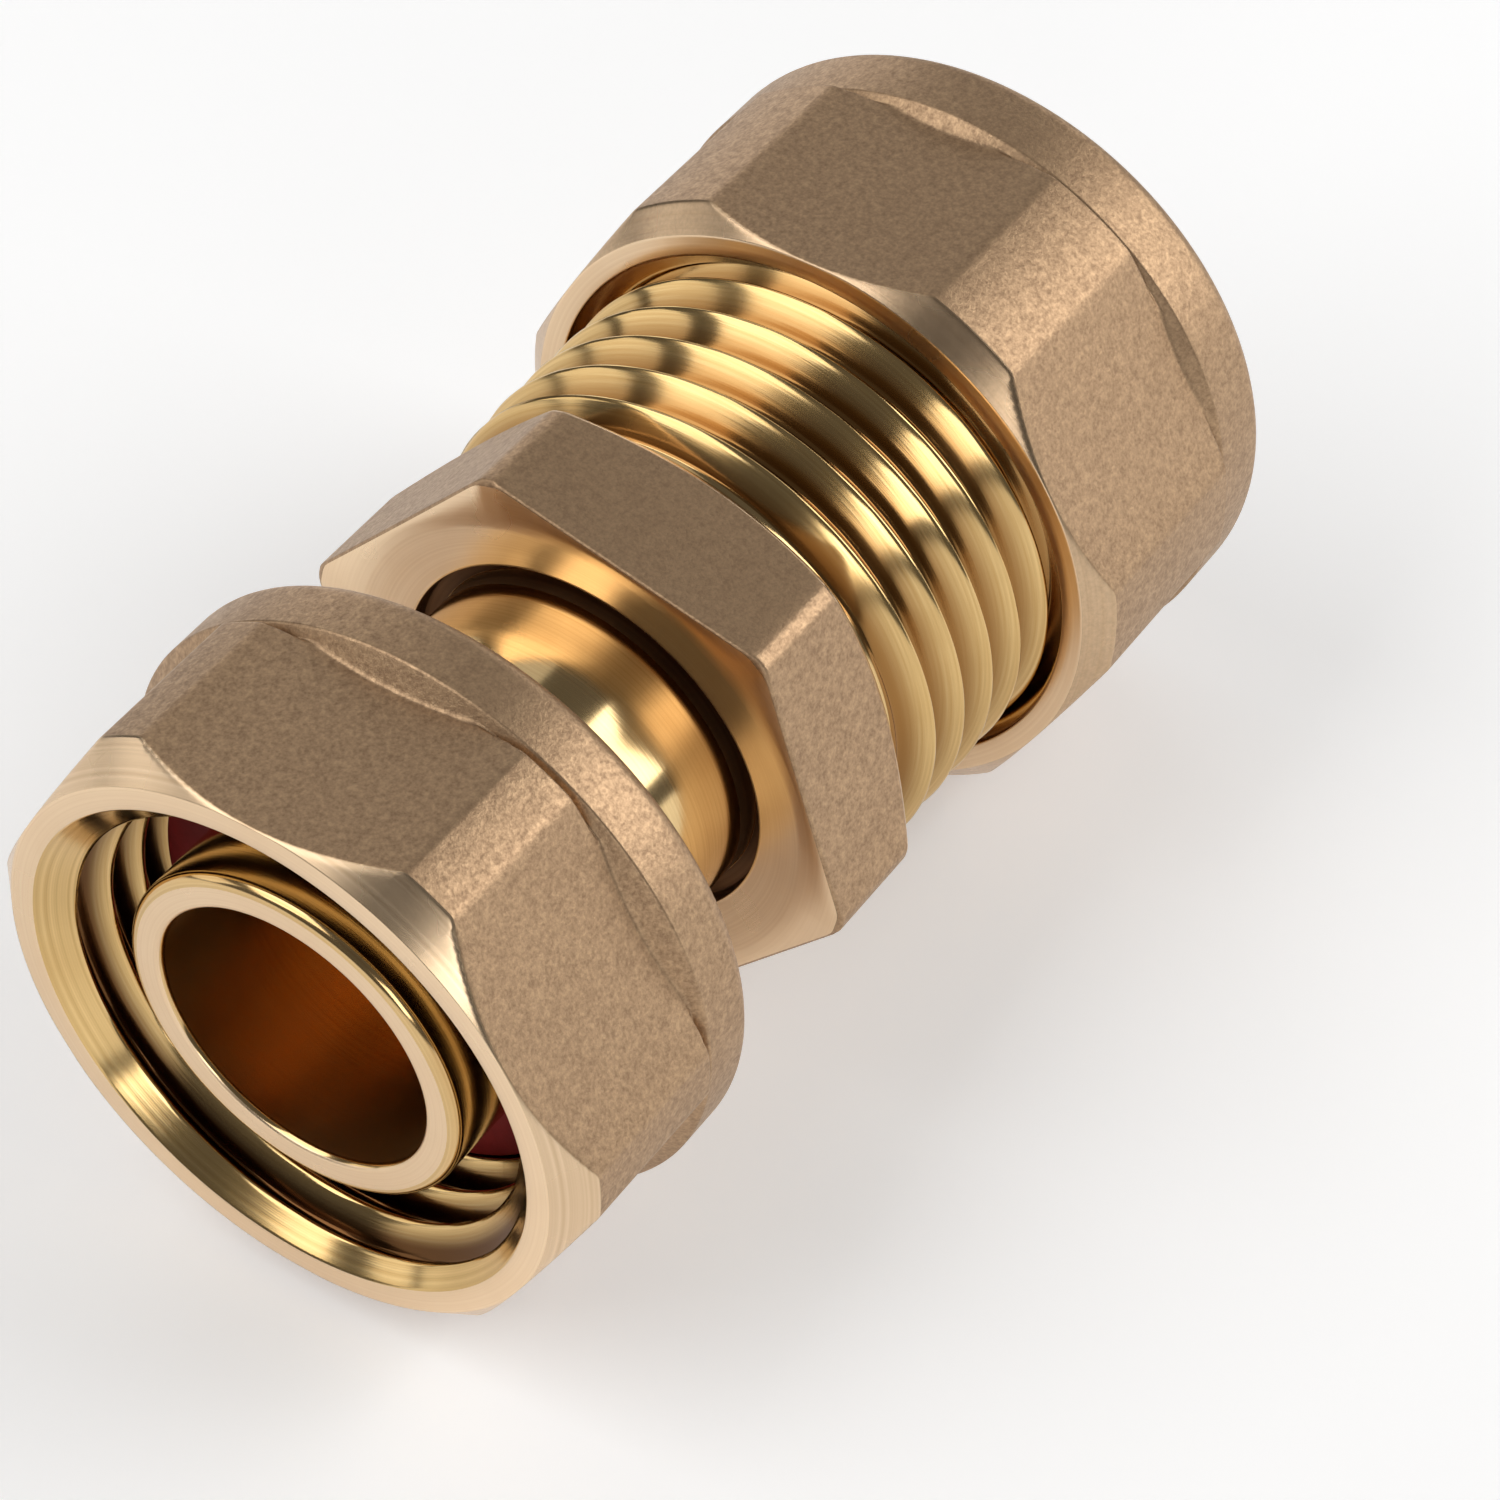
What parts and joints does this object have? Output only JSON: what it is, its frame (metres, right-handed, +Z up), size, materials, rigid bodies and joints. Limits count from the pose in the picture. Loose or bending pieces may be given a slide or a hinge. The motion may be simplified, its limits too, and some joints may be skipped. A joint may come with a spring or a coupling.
{
  "type": "compression coupler",
  "caption": "Straight brass coupler with a compression nut for plain copper tube at one end and a swivel union nut on a flanged tail with a fibre washer at the other.",
  "frame": {"origin": "on the centre line, at the stop that the end of the copper tube meets inside the body", "axes": "+X along the centre line out of the compression end, +Z up with the part lying on its side as in the picture"},
  "size_m": [0.0465, 0.0272, 0.0264],
  "materials": {
    "brass": "machined and shot blasted",
    "bright_brass": "turned bright",
    "fibre": "pressed vulcanised fibre"
  },
  "bodies": {
    "fitting": {"body": "brass", "tail": "bright_brass", "fibre_washer": "fibre"},
    "swivel_nut": {"swivel_nut": "brass"},
    "olive": {"olive": "bright_brass"},
    "compression_nut": {"compression_nut": "brass"}
  },
  "joints": [
    {"name": "swivel_nut_spin", "type": "hinge", "parent": "fitting", "child": "swivel_nut", "pos_m": [-0.0144, 0, 0], "axis": [1, 0, 0], "continuous": true},
    {"name": "olive_slide", "type": "slide", "parent": "fitting", "child": "olive", "axis": [1, 0, 0], "range_m": [-0.0051, 0.0026]},
    {"name": "nut_turn", "type": "hinge", "parent": "olive", "child": "compression_nut", "pos_m": [0.0156, 0, 0], "axis": [1, 0, 0], "range_deg": [-900, 450]}
  ],
  "couplings": [
    {"joint": "olive_slide", "follows": "nut_turn", "m_per_rad": 0.00031831}
  ]
}
